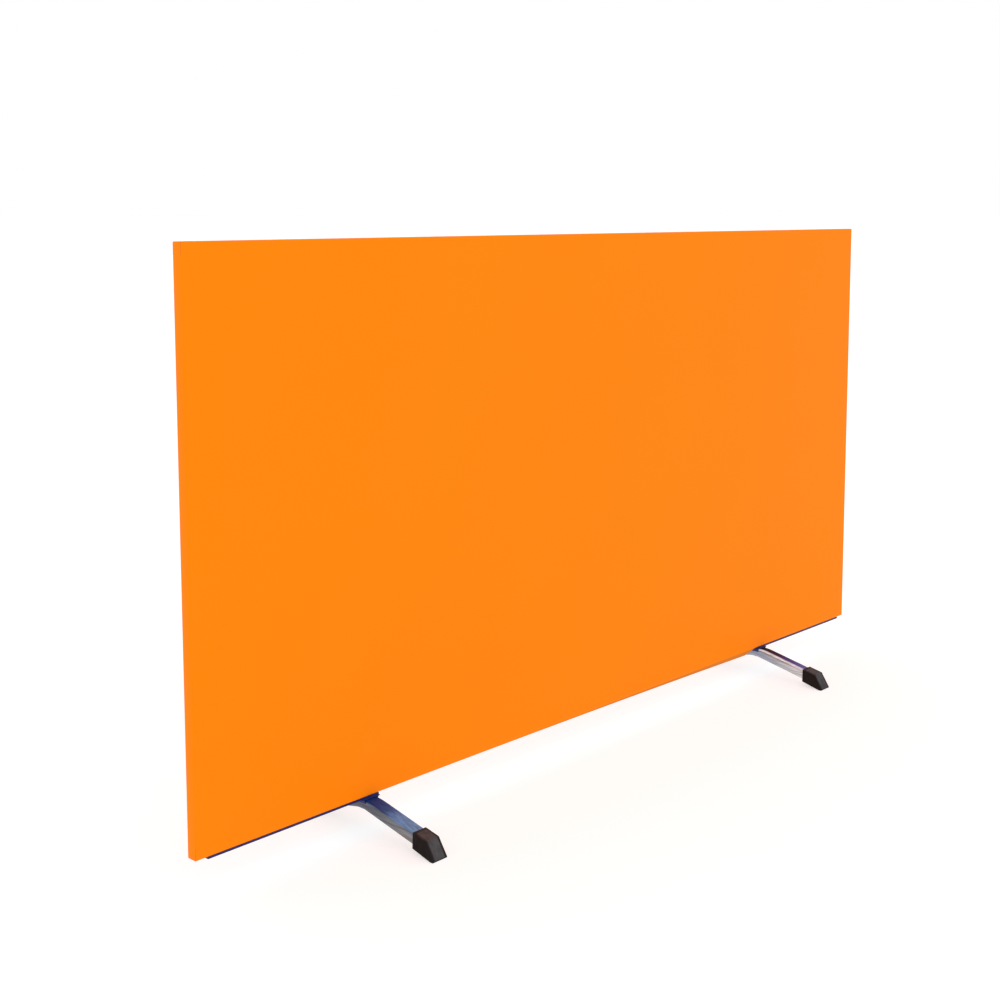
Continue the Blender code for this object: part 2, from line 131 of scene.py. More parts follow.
def make_dust_group():
    """Mask of the dust that has settled in patches on faces that look up."""
    group, given, result = new_group("settled_dust", {"Amount": 0.5, "Patches per Metre": 14.0}, ("Mask",))
    facing_up = ramp_node(group, upward_facing(group), 0.25, 0.95)
    patchy = ramp_node(group, object_noise(group, given["Patches per Metre"], 5.0), 0.30, 0.75, low=0.3)
    cover = math_node(group, "MULTIPLY", facing_up, patchy)
    group.links.new(math_node(group, "MULTIPLY", cover, given["Amount"]), result["Mask"])
    return group


def make_scuff_group():
    """Mask of short fine scratches that run across one another."""
    group, given, result = new_group("scuffs", {"Amount": 0.5, "Scratches per Metre": 60.0}, ("Mask",))
    along_x, along_z = (1.0, 9.0, 14.0), (14.0, 9.0, 1.0)
    lines = []
    for stretch in (along_x, along_z):
        streak = object_noise(group, given["Scratches per Metre"], 6.0, stretch)
        lines.append(ramp_node(group, streak, 0.66, 0.72))
    handled = ramp_node(group, object_noise(group, 7.0, 3.0), 0.50, 0.66)
    scratches = math_node(group, "MULTIPLY", math_node(group, "MAXIMUM", *lines), handled)
    group.links.new(math_node(group, "MULTIPLY", scratches, given["Amount"]), result["Mask"])
    return group


fine_grain = make_grain_group()
settled_dust = make_dust_group()
scuffs = make_scuff_group()


def add_group(tree, group, **values):
    """The group's outputs, with its inputs set: grains_per_metre=900 sets Grains per Metre."""
    node = add_node(tree, "ShaderNodeGroup", node_tree=group)
    for name, value in values.items():
        label = name.replace("_", " ").title().replace(" Per ", " per ")
        node.inputs[label].default_value = value
    return node.outputs


def new_material(name, color, roughness, metallic=0.0, specular=0.5):
    """A material, its node tree, and its shader's inputs set to plain values."""
    material = bpy.data.materials.new(name)
    material.use_nodes = True
    shader = material.node_tree.nodes["Principled BSDF"]
    shader.inputs["Base Color"].default_value = (*color, 1.0)
    shader.inputs["Roughness"].default_value = roughness
    shader.inputs["Metallic"].default_value = metallic
    shader.inputs["Specular IOR Level"].default_value = specular
    return material, material.node_tree, shader.inputs


def add_bump(tree, shader, height, depth):
    """Bump of the given depth in metres on the shader's normal."""
    bump = add_node(tree, "ShaderNodeBump", {"Height": height, "Distance": depth, "Strength": 1.0})
    tree.links.new(bump.outputs["Normal"], shader["Normal"])


def make_navy_powder_coat():
    navy, worn, dust = (0.004, 0.008, 0.120, 1), (0.070, 0.080, 0.150, 1), (0.14, 0.14, 0.17, 1)
    material, tree, shader = new_material("navy_powder_coat", navy[:3], 0.36, specular=0.30)
    grain = add_group(tree, fine_grain, grains_per_metre=950.0, patches_per_metre=5.0)
    rubbed = add_group(tree, scuffs, amount=0.7, scratches_per_metre=45.0)["Mask"]
    dusty = add_group(tree, settled_dust, amount=0.35, patches_per_metre=11.0)["Mask"]
    color = mix_colors(tree, rubbed, navy, worn)
    tree.links.new(mix_colors(tree, dusty, color, dust), shader["Base Color"])
    rough = ramp_node(tree, grain["Patches"], 0.25, 0.75, low=0.30, high=0.46)
    dust_rough = math_node(tree, "MULTIPLY", dusty, 0.5)
    tree.links.new(math_node(tree, "ADD", rough, dust_rough), shader["Roughness"])
    add_bump(tree, shader, grain["Height"], depth=0.00006)
    return material


def give_material(material, *names):
    """Makes the material the only one on each named CAD node."""
    for name in names:
        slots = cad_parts[name].data.materials
        slots.clear()
        slots.append(material)


navy_powder_coat = make_navy_powder_coat()
give_material(navy_powder_coat, "top_rail", "bottom_rail", "left_post", "right_post",
              "left_upright", "right_upright")


# ==== Corner and tee blocks ====================================================================
# Black glass-filled nylon, injection moulded with spigots that push into the tubes' ends.
# The mould was spark-eroded, which leaves an even, slightly pitted skin.

def make_black_nylon():
    black, bloom = (0.012, 0.012, 0.014, 1), (0.035, 0.035, 0.038, 1)
    material, tree, shader = new_material("black_nylon", black[:3], 0.5)
    grain = add_group(tree, fine_grain, grains_per_metre=1600.0, patches_per_metre=60.0)
    cloudy = ramp_node(tree, grain["Patches"], 0.45, 0.8)
    tree.links.new(mix_colors(tree, cloudy, black, bloom), shader["Base Color"])
    rough = ramp_node(tree, grain["Patches"], 0.2, 0.8, low=0.42, high=0.6)
    tree.links.new(rough, shader["Roughness"])
    add_bump(tree, shader, grain["Height"], depth=0.00008)
    return material


black_nylon = make_black_nylon()
SIDES = ("left", "right")
LEVELS = ("bottom", "top")
give_material(black_nylon, *(f"{level}_{side}_{kind}_block"
                             for level in LEVELS for side in SIDES for kind in ("corner", "tee")))


# ==== Screws ===================================================================================
# Zinc-plated pan-head screws with a cross recess: one through each tube end into its block's
# spigot, and three up through each foot plate into the bottom rail.

SCREW_HEAD_HEIGHT = 0.0024
SCREW_HEAD_RADIUS = 0.0042
SCREW_SEAT_SHARE = 0.94          # of the head's radius, where its rounded underside rests
SCREW_SEAT_GAP = 0.0002
SCREW_RIM_SHARE = 0.35           # of the head's height, below its dome
SCREW_DOME_STEPS = 6
SCREW_SHANK_RADIUS = 0.0020
SCREW_SHANK_LENGTH = 0.0080
SCREW_TURN_SIDES = 28
RECESS_WIDTH = 0.0011
RECESS_DEPTH = 0.0013
RECESS_REACH_SHARE = 1.1         # of the head's radius, from arm's end to arm's end
RECESS_TAPER = 0.55              # length at the bottom as a share of the top's
CUTTER_TOP_SHARE = 1.5           # of the head's height, clear above the dome


def make_zinc_steel():
    bright, dull = (0.60, 0.60, 0.57, 1), (0.36, 0.37, 0.38, 1)
    material, tree, shader = new_material("zinc_steel", bright[:3], 0.3, metallic=1.0)
    grain = add_group(tree, fine_grain, grains_per_metre=1400.0, patches_per_metre=220.0)
    stained = ramp_node(tree, grain["Patches"], 0.40, 0.75)
    tree.links.new(mix_colors(tree, stained, bright, dull), shader["Base Color"])
    rough = ramp_node(tree, grain["Patches"], 0.2, 0.8, low=0.24, high=0.44)
    tree.links.new(rough, shader["Roughness"])
    add_bump(tree, shader, grain["Height"], depth=0.00002)
    return material


zinc_steel = make_zinc_steel()


def new_object(name, data):
    """A new object in the scene for a mesh, a lamp or a camera."""
    item = bpy.data.objects.new(name, data)
    bpy.context.scene.collection.objects.link(item)
    return item


def mesh_of(bm, name, smooth_angle_deg=35):
    """The bmesh as a closed mesh facing out, smooth where its faces meet below the angle."""
    bmesh.ops.recalc_face_normals(bm, faces=bm.faces)
    mesh = bpy.data.meshes.new(name)
    bm.to_mesh(mesh)
    bm.free()
    mesh.shade_smooth()
    mesh.set_sharp_from_angle(angle=math.radians(smooth_angle_deg))
    return mesh


def loft_mesh(name, rings, closed=False, smooth_angle_deg=35):
    """Skin over rings of equal point counts, capped at both ends, or joined end to start."""
    bm = bmesh.new()
    loops = [[bm.verts.new(point) for point in ring] for ring in rings]
    count = len(loops[0])
    pairs = list(zip(loops, loops[1:] + loops[:1] if closed else loops[1:]))
    for first, second in pairs:
        for index in range(count):
            after = (index + 1) % count
            bm.faces.new((first[index], first[after], second[after], second[index]))
    if not closed:
        bm.faces.new(loops[0])
        bm.faces.new(loops[-1])
    return mesh_of(bm, name, smooth_angle_deg)


def turned_rings(profile, sides):
    """Rings about Z through (radius, height) pairs."""
    angles = [2 * math.pi * side / sides for side in range(sides)]
    return [[(radius * math.cos(a), radius * math.sin(a), z) for a in angles] for radius, z in profile]


def dome_profile(radius, start, height, steps):
    """(radius, height) pairs up a quarter of an ellipse, stopping short of its pole."""
    pairs = []
    for step in range(steps):
        angle = math.pi / 2 * step / steps
        pairs.append((radius * math.cos(angle), start + height * math.sin(angle)))
    return pairs


def baked_copy(solid, name):
    """The object as its modifiers leave it, as a plain mesh object; the original is removed."""
    bpy.context.view_layer.update()
    evaluated = solid.evaluated_get(bpy.context.evaluated_depsgraph_get())
    mesh = bpy.data.meshes.new_from_object(evaluated)
    mesh.name = name
    bpy.data.objects.remove(solid)
    return new_object(name, mesh)


def make_pan_screw():
    """Screw head that stands on z = 0, with a short shank below and a cross recess on top."""
    rim_height = SCREW_HEAD_HEIGHT * SCREW_RIM_SHARE
    dome_height = SCREW_HEAD_HEIGHT * (1 - SCREW_RIM_SHARE)
    profile = [(SCREW_SHANK_RADIUS, -SCREW_SHANK_LENGTH), (SCREW_SHANK_RADIUS, SCREW_SEAT_GAP),
               (SCREW_HEAD_RADIUS * SCREW_SEAT_SHARE, SCREW_SEAT_GAP)]
    profile += dome_profile(SCREW_HEAD_RADIUS, rim_height, dome_height, SCREW_DOME_STEPS)
    screw = new_object("pan_screw", loft_mesh("pan_screw", turned_rings(profile, SCREW_TURN_SIDES)))
    reach = SCREW_HEAD_RADIUS * RECESS_REACH_SHARE
    recess_floor = SCREW_HEAD_HEIGHT - RECESS_DEPTH
    above_dome = SCREW_HEAD_HEIGHT * CUTTER_TOP_SHARE
    for turn in (0, 1):
        bm = bmesh.new()
        bmesh.ops.create_cube(bm, size=1.0)
        size = (reach, RECESS_WIDTH) if turn else (RECESS_WIDTH, reach)
        for vert in bm.verts:
            deep = vert.co.z < 0
            vert.co.x *= size[0] * (RECESS_TAPER if deep and turn else 1)
            vert.co.y *= size[1] * (RECESS_TAPER if deep and not turn else 1)
            vert.co.z = recess_floor if deep else above_dome
        slot_cutter = new_object(f"recess_{turn}", mesh_of(bm, f"recess_{turn}"))
        cut = screw.modifiers.new(f"recess_{turn}", "BOOLEAN")
        cut.object = slot_cutter
        cut.solver = "EXACT"
    finished = baked_copy(screw, "pan_screw")
    for turn in (0, 1):
        bpy.data.objects.remove(bpy.data.objects[f"recess_{turn}"])
    return finished


def new_shape_tree(name, sizes):
    """Geometry Nodes tree with Geometry, Shape, Material and number inputs."""
    tree = bpy.data.node_groups.new(name, "GeometryNodeTree")
    for label, kind in (("Geometry", "Geometry"), ("Shape", "Object"), ("Material", "Material")):
        tree.interface.new_socket(label, in_out="INPUT", socket_type="NodeSocket" + kind)
    for label, default in sizes.items():
        size = tree.interface.new_socket(label, in_out="INPUT", socket_type="NodeSocketFloat")
        size.default_value = default
    tree.interface.new_socket("Geometry", in_out="OUTPUT", socket_type="NodeSocketGeometry")
    return tree, tree.nodes.new("NodeGroupInput").outputs


def finish_shape_tree(tree, given, points, rotation):
    """Sets the shape on the points, as real geometry with its material."""
    shape = add_node(tree, "GeometryNodeObjectInfo", {"Object": given["Shape"]}).outputs["Geometry"]
    placed = add_node(tree, "GeometryNodeInstanceOnPoints",
                      {"Points": points, "Instance": shape, "Rotation": rotation})
    real = add_node(tree, "GeometryNodeRealizeInstances", {"Geometry": placed.outputs[0]})
    dressed = add_node(tree, "GeometryNodeSetMaterial",
                       {"Geometry": real.outputs[0], "Material": given["Material"]})
    tree.links.new(dressed.outputs[0], tree.nodes.new("NodeGroupOutput").inputs[0])


def run_shape_tree(carrier, tree, **values):
    """Runs the tree on the carrier object, and returns the result as a plain mesh object."""
    name = carrier.name
    modifier = carrier.modifiers.new("shapes", "NODES")
    modifier.node_group = tree
    for item in tree.interface.items_tree:
        key = item.name.lower()
        if item.in_out == "INPUT" and key in values:
            modifier[item.identifier] = values[key]
    return baked_copy(carrier, name)


def carrier_object(name, points, facings=(), loop=False):
    """Loose points that each know which way they face, or a closed loop of edges."""
    mesh = bpy.data.meshes.new(name)
    count = len(points)
    mesh.from_pydata(points, [(i, (i + 1) % count) for i in range(count)] if loop else [], [])
    if facings:
        facing = mesh.attributes.new("facing", "FLOAT_VECTOR", "POINT")
        for item, direction in zip(facing.data, facings):
            item.vector = direction
    return new_object(name, mesh)


def make_facing_tree():
    """One shape on every point, its Z along the point's own facing direction."""
    tree, given = new_shape_tree("shapes_facing_out", {})
    facing = add_node(tree, "GeometryNodeInputNamedAttribute", {"Name": "facing"},
                      data_type="FLOAT_VECTOR")
    turned = add_node(tree, "FunctionNodeAlignRotationToVector", {"Vector": facing.outputs[0]}, axis="Z")
    finish_shape_tree(tree, given, given["Geometry"], turned.outputs[0])
    return tree


def box_corners(node):
    """Lowest and highest corner of a CAD node."""
    return [Vector(corner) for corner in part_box(node)]


def screw_seat(node, facing):
    """Where the head of a CAD screw rests, from its box and the way its head faces."""
    low, high = box_corners(node)
    reach = abs((high - low).dot(facing)) / 2
    return (low + high) / 2 + facing * (reach - SCREW_HEAD_HEIGHT)


def build_screws(name, facing_by_node, shape, tree):
    """One piece for a group of like screws, in place of their CAD nodes."""
    seats = [screw_seat(node, facing) for node, facing in facing_by_node.items()]
    carrier = carrier_object(name, seats, list(facing_by_node.values()))
    screws = run_shape_tree(carrier, tree, shape=shape, material=zinc_steel)
    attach(screws, "screen")
    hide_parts(*facing_by_node)


shapes_facing_out = make_facing_tree()
pan_screw = make_pan_screw()
block_screw_facings = {}
for side, inward in zip(SIDES, (1, -1)):
    for level, up in zip(LEVELS, (1, -1)):
        block_screw_facings[f"{level}_{side}_rail_screw"] = Vector((0, 0, up))
        block_screw_facings[f"{level}_{side}_post_screw"] = Vector((inward, 0, 0))
        block_screw_facings[f"{level}_{side}_upright_screw"] = Vector((0, 1, 0))
plate_screw_facings = {f"{side}_plate_screw_{number}": Vector((0, 0, -1))
                       for side in SIDES for number in (1, 2, 3)}
build_screws("block_screws", block_screw_facings, pan_screw, shapes_facing_out)
build_screws("plate_screws", plate_screw_facings, pan_screw, shapes_facing_out)
bpy.data.objects.remove(pan_screw)


# ==== Curtain sheet ============================================================================
# One sheet of opaque orange PVC film, notched at its corners and stretched over the whole front.
# It is wrapped round all four edges, folds to a hem on the back, and hangs a little slack below
# the bottom rail between the feet.

FILM_THICKNESS = 0.00045
FOLD_RADIUS = 0.0030             # where the sheet turns over the tubes' edges
FOLD_STEPS = 4
CORNER_RADIUS = 0.0020           # as seen from the front; still covers the square frame inside
TIGHTEST_CORNER = 0.0006
HEM_FOLD = 0.0105                # width of the folded hem along the sheet's edge
HEM_STEP = 0.0005
EVEN_CELL = 0.024
FINE_CELL = 0.0010               # first grid line from each end; each next gap is wider
FINE_GROWTH = 1.5
FINE_LINES = 8
RELIEF = 0.0007                  # how far the film stands off its flat
RELIEF_MARGIN = 0.070            # beside the edges, where it lies flatter
RELIEF_WAVES_ACROSS = 2.3        # per metre
RELIEF_WAVES_UP = 3.1
RELIEF_SEED = 4.0
SLACK_DEPTH = 0.0125             # lowest hang below the rail
SLACK_HEIGHT = 0.150             # the front is drawn down over this height
SLACK_STAND_OFF = 0.0009         # the slack part swings this far forward
SLACK_END = 0.04                 # share of the way between the feet in which the hang ends
SLACK_MID_EDGE = 0.9             # of the hang, half way across the bottom edge
SLACK_FAR_FOLD = 0.7             # of the hang, where the sheet turns up the back
# How strongly the painted shade darkens the far fold and the lower edge.
PAINTED_SHADE_STRENGTH = 0.75

face_low, face_high = box_corners("curtain")
band_low, band_high = box_corners("curtain_bottom_band")
half_width = face_high.x
half_height = (face_high.z - face_low.z) / 2
panel_middle = (face_high.z + face_low.z) / 2
front_y = face_low.y
back_y = band_high.y
hem_return = band_high.z - band_low.z
hem_start = hem_return - HEM_FOLD
clamped_from = box_corners("right_foot_saddle")[0].x


def grid_lines(length):
    """Shares from -1 to 1 along a length: close together at its ends, even between them."""
    fine = [FINE_CELL * (FINE_GROWTH ** step - 1) / (FINE_GROWTH - 1) for step in range(FINE_LINES)]
    middle = length - 2 * fine[-1]
    count = round(middle / EVEN_CELL)
    even = [fine[-1] + middle * step / count for step in range(1, count)]
    places = fine + even + [length - place for place in reversed(fine)]
    return [2 * place / length - 1 for place in places]


def on_panel(u, v, inset):
    """X and Z on the panel's rounded outline, u and v from -1 to 1, drawn in by inset."""
    half_x = half_width - inset
    half_z = half_height - inset
    x = u * half_x
    z = v * half_z
    radius = max(CORNER_RADIUS - inset, TIGHTEST_CORNER)
    a = (abs(x) - half_x) / radius + 1
    b = (abs(z) - half_z) / radius + 1
    if a > 0 and b > 0:
        x = math.copysign(half_x - radius + radius * a * math.sqrt(1 - b * b / 2), x)
        z = math.copysign(half_z - radius + radius * b * math.sqrt(1 - a * a / 2), z)
    return x, z + panel_middle


def slack(x):
    """How far the sheet hangs below the bottom rail: nothing at the feet, most beside the right one."""
    share = min(max((x + clamped_from) / (2 * clamped_from), 0), 1)
    let_go = min((1 - share) / SLACK_END, 1)
    return SLACK_DEPTH * share * share * let_go * let_go * (3 - 2 * let_go)


def pull_down(z):
    """Share of the slack at a height: all of it at the bottom edge, fading upwards."""
    return max(1 - (z - face_low.z) / SLACK_HEIGHT, 0) ** 2


def front_point(u, v):
    """On the stretched front: almost flat with a faint swell, and drawn down by the slack."""
    x, z = on_panel(u, v, FOLD_RADIUS)
    drop = pull_down(z) * slack(x)
    margin = min(half_width - abs(x), half_height - abs(z - panel_middle))
    inside = min(margin / RELIEF_MARGIN, 1)
    wave = noise.noise(Vector((x * RELIEF_WAVES_ACROSS, z * RELIEF_WAVES_UP, RELIEF_SEED)))
    swell = 0.5 + 0.5 * wave
    y = front_y - RELIEF * swell * inside * inside - SLACK_STAND_OFF * drop / SLACK_DEPTH
    return x, y, z - drop


def wrap_rows():
    """(inset, y, share of the slack) for each row from the front fold round to the hem's edge."""
    rows = []
    for step in range(1, FOLD_STEPS + 1):
        angle = math.pi / 2 * step / FOLD_STEPS
        inset = FOLD_RADIUS * (1 - math.sin(angle))
        rows.append((inset, front_y + FOLD_RADIUS * (1 - math.cos(angle)), 1.0))
    rows.append((0.0, (front_y + back_y) / 2, SLACK_MID_EDGE))
    for step in range(FOLD_STEPS + 1):
        angle = math.pi / 2 * step / FOLD_STEPS
        inset = FOLD_RADIUS * (1 - math.cos(angle))
        y = back_y - FOLD_RADIUS * (1 - math.sin(angle))
        rows.append((inset, y, SLACK_FAR_FOLD * math.cos(angle)))
    rows.append((hem_start - HEM_STEP, back_y, 0.0))
    rows.append((hem_start + HEM_STEP, back_y + HEM_STEP, 0.0))
    rows.append((hem_return - HEM_STEP, back_y + HEM_STEP, 0.0))
    rows.append((hem_return, back_y + HEM_STEP / 2, 0.0))
    return rows


def build_curtain_sheet():
    """The front as a grid, then one row of faces after another round its edge to the hem."""
    across = grid_lines(2 * half_width)
    upward = grid_lines(2 * half_height)
    columns = len(across)
    bm = bmesh.new()
    grid = [[bm.verts.new(front_point(u, v)) for u in across] for v in upward]
    for lower, upper in zip(grid, grid[1:]):
        for index in range(columns - 1):
            bm.faces.new((lower[index], lower[index + 1], upper[index + 1], upper[index]))
    edge_shares = [(u, -1) for u in across] + [(1, v) for v in upward[1:]]
    edge_shares += [(u, 1) for u in reversed(across[:-1])] + [(-1, v) for v in reversed(upward[1:-1])]
    loop = grid[0] + [row[-1] for row in grid[1:]]
    loop += grid[-1][-2::-1] + [row[0] for row in grid[-2:0:-1]]
    for inset, y, hang in wrap_rows():
        row = []
        for u, v in edge_shares:
            x, z = on_panel(u, v, inset)
            row.append(bm.verts.new((x, y, z - hang * pull_down(z) * slack(x))))
        for index in range(len(loop)):
            after = (index + 1) % len(loop)
            bm.faces.new((loop[index], row[index], row[after], loop[after]))
        loop = row
    mesh = bpy.data.meshes.new("curtain_sheet")
    bm.to_mesh(mesh)
    bm.free()
    mesh.shade_smooth()
    sheet = new_object("curtain_sheet", mesh)
    thicken = sheet.modifiers.new("film", "SOLIDIFY")
    thicken.thickness = FILM_THICKNESS
    thicken.offset = -1.0
    return baked_copy(sheet, "curtain_sheet")


def make_curtain_vinyl():
    """Smooth orange film, with painted shade: darker brown round the far fold on the back and along the
    lower edge.
    """
    orange, pale, shade = (1.0, 0.220, 0.001, 1), (1.0, 0.231, 0.002, 1), (0.56, 0.18, 0.03, 1)
    material, tree, shader = new_material("curtain_vinyl", orange[:3], 0.42, specular=0.04)
    grain = add_group(tree, fine_grain, grains_per_metre=620.0, patches_per_metre=1.6)
    rubbed = add_group(tree, scuffs, amount=0.10, scratches_per_metre=30.0)["Mask"]
    axes = object_axes(tree)
    cloudy = ramp_node(tree, grain["Patches"], 0.35, 0.70, high=0.5)
    color = mix_colors(tree, math_node(tree, "ADD", cloudy, rubbed), orange, pale)
    # Painted shade: darker brown along the far fold on the back and along the lower edge.
    far_fold = ramp_node(tree, axes["Y"], back_y - 0.0035, back_y - 0.0010)
    off_back = ramp_node(tree, axes["Y"], back_y - 0.0002, back_y + 0.0002, low=1.0, high=0.0)
    under = ramp_node(tree, axes["Z"], face_low.z + 0.0020, face_low.z + 0.0002)
    painted_fold_shade = math_node(tree, "MAXIMUM", math_node(tree, "MULTIPLY", far_fold, off_back), under)
    shaded = math_node(tree, "MULTIPLY", painted_fold_shade, PAINTED_SHADE_STRENGTH)
    tree.links.new(mix_colors(tree, shaded, color, shade), shader["Base Color"])
    rough = ramp_node(tree, grain["Patches"], 0.2, 0.8, low=0.36, high=0.50)
    tree.links.new(math_node(tree, "ADD", rough, rubbed), shader["Roughness"])
    add_bump(tree, shader, grain["Height"], depth=0.00005)
    return material


curtain_sheet = build_curtain_sheet()
curtain_vinyl = make_curtain_vinyl()
curtain_sheet.data.materials.append(curtain_vinyl)
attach(curtain_sheet, "screen")
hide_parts("curtain", "curtain_bottom_band", "curtain_left_band",
            "curtain_top_band", "curtain_right_band")


# ==== Welded hem corners =======================================================================
# The hems turned in from two edges meet in a mitre at each corner of the back, and are
# heat-welded there under a low bead of the same orange film.

BEAD_WIDTH = 0.0034
BEAD_HEIGHT = 0.0003
BEAD_SUNK = 0.0002
BEAD_START = 0.0040              # from the panel's corner, past its folded edge
BEAD_END_SHARE = 0.3             # of its width, where it runs out
BEAD_STEPS = 6
CORNERS = ((-1, -1), (1, -1), (1, 1), (-1, 1))

hem_back = back_y + HEM_STEP


def bead_rings(u, v):
    """Half-round sections along one mitre, from the fold to the hem's inner edge."""
    stations = [(BEAD_START, BEAD_END_SHARE), (BEAD_START + BEAD_WIDTH / 2, 1.0),
                (hem_start - HEM_STEP, 1.0), (hem_start + HEM_STEP, 1.0),
                (hem_return - BEAD_WIDTH / 2, 1.0), (hem_return - HEM_STEP, BEAD_END_SHARE)]
    rings = []
    for inset, fullness in stations:
        base = (hem_back if inset > hem_start else back_y) - BEAD_SUNK
        ring = []
        for step in range(BEAD_STEPS + 1):
            angle = math.pi * step / BEAD_STEPS
            across = fullness * BEAD_WIDTH / 2 * math.cos(angle) / math.sqrt(2)
            y = base + (BEAD_HEIGHT + BEAD_SUNK) * fullness * math.sin(angle)
            ring.append((u * (half_width - inset + across), y,
                         panel_middle + v * (half_height - inset - across)))
        rings.append(ring)
    return rings


def build_hem_welds():
    """All four beads as one piece."""
    beads = bmesh.new()
    for u, v in CORNERS:
        bead = loft_mesh("hem_weld", bead_rings(u, v))
        beads.from_mesh(bead)
        bpy.data.meshes.remove(bead)
    welds = new_object("hem_welds", mesh_of(beads, "hem_welds", smooth_angle_deg=50))
    welds.data.materials.append(curtain_vinyl)
    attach(welds, "screen")
    return welds


hem_welds = build_hem_welds()


# ==== Press studs and hem stitching ============================================================
# Nickel-plated press studs hold the hem to the back of the tubes all the way round.
# One row of black heat-proof thread runs along the hem's free edge.

STUD_RADIUS = 0.0050
STUD_HEIGHT = 0.0019
STUD_SHARES = ((0.92, 0.0), (1.0, 0.18), (0.93, 0.42), (0.78, 0.82), (0.50, 1.0), (0.30, 0.90),
               (0.12, 0.70))     # of the radius and of the height, from the flange to the dimple
STUD_TURN_SIDES = 18
STUD_INSET = 0.0118
STUD_SPACING = 0.155
THREAD_RADIUS = 0.00038
THREAD_SIDES = 5
STITCH_LENGTH = 0.0044
STITCH_SHARES = ((-0.50, 0.45, -0.6), (-0.30, 0.95, 0.1), (0.0, 1.0, 0.35), (0.30, 0.95, 0.1),
                 (0.50, 0.45, -0.6))   # place along its length; thickness and lift in thread radii
STITCH_INSET = 0.0182
STITCH_SPACING = 0.0058


def hem_path(inset):
    """Points along the hem on the back of the panel, corner to corner."""
    points = []
    for u, v in CORNERS:
        points.append((u * (half_width - inset), hem_back, panel_middle + v * (half_height - inset)))
    return points


def make_row_tree(name, axis, along_path):
    """Shapes at even distances round a closed path, turned along it or facing +Y."""
    tree, given = new_shape_tree(name, {"Spacing": 0.1})
    path = add_node(tree, "GeometryNodeMeshToCurve", {"Mesh": given["Geometry"]}).outputs[0]
    even = add_node(tree, "GeometryNodeResampleCurve", {"Curve": path, "Length": given["Spacing"]},
                    mode="LENGTH")
    straight_back = (0.0, 1.0, 0.0)
    heading = add_node(tree, "GeometryNodeInputTangent").outputs[0] if along_path else straight_back
    turned = add_node(tree, "FunctionNodeAlignRotationToVector", {"Vector": heading}, axis=axis)
    finish_shape_tree(tree, given, even.outputs[0], turned.outputs[0])
    return tree


def make_stud():
    """Cap of a press stud: a rolled flange, a low dome and a dimple where the punch set it."""
    profile = [(STUD_RADIUS * radius, STUD_HEIGHT * height) for radius, height in STUD_SHARES]
    cap = loft_mesh("stud_shape", turned_rings(profile, STUD_TURN_SIDES), smooth_angle_deg=60)
    return new_object("stud_shape", cap)


def make_stitch():
    """One stitch along X: a short length of thread that dips into the film at both ends."""
    rings = []
    for place, thick, lift in STITCH_SHARES:
        ring = []
        for side in range(THREAD_SIDES):
            angle = 2 * math.pi * side / THREAD_SIDES
            ring.append((place * STITCH_LENGTH, THREAD_RADIUS * (thick * math.cos(angle)),
                         THREAD_RADIUS * (thick * math.sin(angle) + lift)))
        rings.append(ring)
    return new_object("stitch_shape", loft_mesh("stitch_shape", rings, smooth_angle_deg=80))


def make_nickel_plate():
    bright, tarnish = (0.66, 0.62, 0.55, 1), (0.34, 0.29, 0.22, 1)
    material, tree, shader = new_material("nickel_plate", bright[:3], 0.22, metallic=1.0)
    grain = add_group(tree, fine_grain, grains_per_metre=1500.0, patches_per_metre=160.0)
    tarnished = ramp_node(tree, grain["Patches"], 0.48, 0.75)
    tree.links.new(mix_colors(tree, tarnished, bright, tarnish), shader["Base Color"])
    rough = ramp_node(tree, grain["Patches"], 0.3, 0.8, low=0.16, high=0.38)
    tree.links.new(rough, shader["Roughness"])
    return material


def make_thread():
    black, fluff = (0.012, 0.011, 0.012, 1), (0.050, 0.045, 0.045, 1)
    material, tree, shader = new_material("black_thread", black[:3], 0.75)
    grain = add_group(tree, fine_grain, grains_per_metre=2600.0, patches_per_metre=400.0)
    tree.links.new(mix_colors(tree, grain["Patches"], black, fluff), shader["Base Color"])
    add_bump(tree, shader, grain["Height"], depth=0.00010)
    return material


stud_shape = make_stud()
stitch_shape = make_stitch()
press_studs = run_shape_tree(carrier_object("press_studs", hem_path(STUD_INSET), loop=True),
                             make_row_tree("studs_in_a_row", "Z", False),
                             shape=stud_shape, material=make_nickel_plate(), spacing=STUD_SPACING)
hem_stitches = run_shape_tree(carrier_object("hem_stitches", hem_path(STITCH_INSET), loop=True),
                              make_row_tree("stitches_in_a_row", "X", True),
                              shape=stitch_shape, material=make_thread(), spacing=STITCH_SPACING)
for shape in (stud_shape, stitch_shape):
    bpy.data.objects.remove(shape)
for trim, slot in ((press_studs, "zinc_steel"), (hem_stitches, "black_nylon")):
    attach(trim, "screen")


# ==== Foot plates and saddles ==================================================================
# Folded and flat navy steel: a plate is screwed up under the bottom rail outside each foot, and
# a saddle caps the foot's crown and turns with it.

give_material(navy_powder_coat, *(f"{side}_foot_{kind}"
                                  for side in SIDES for kind in ("plate", "saddle")))
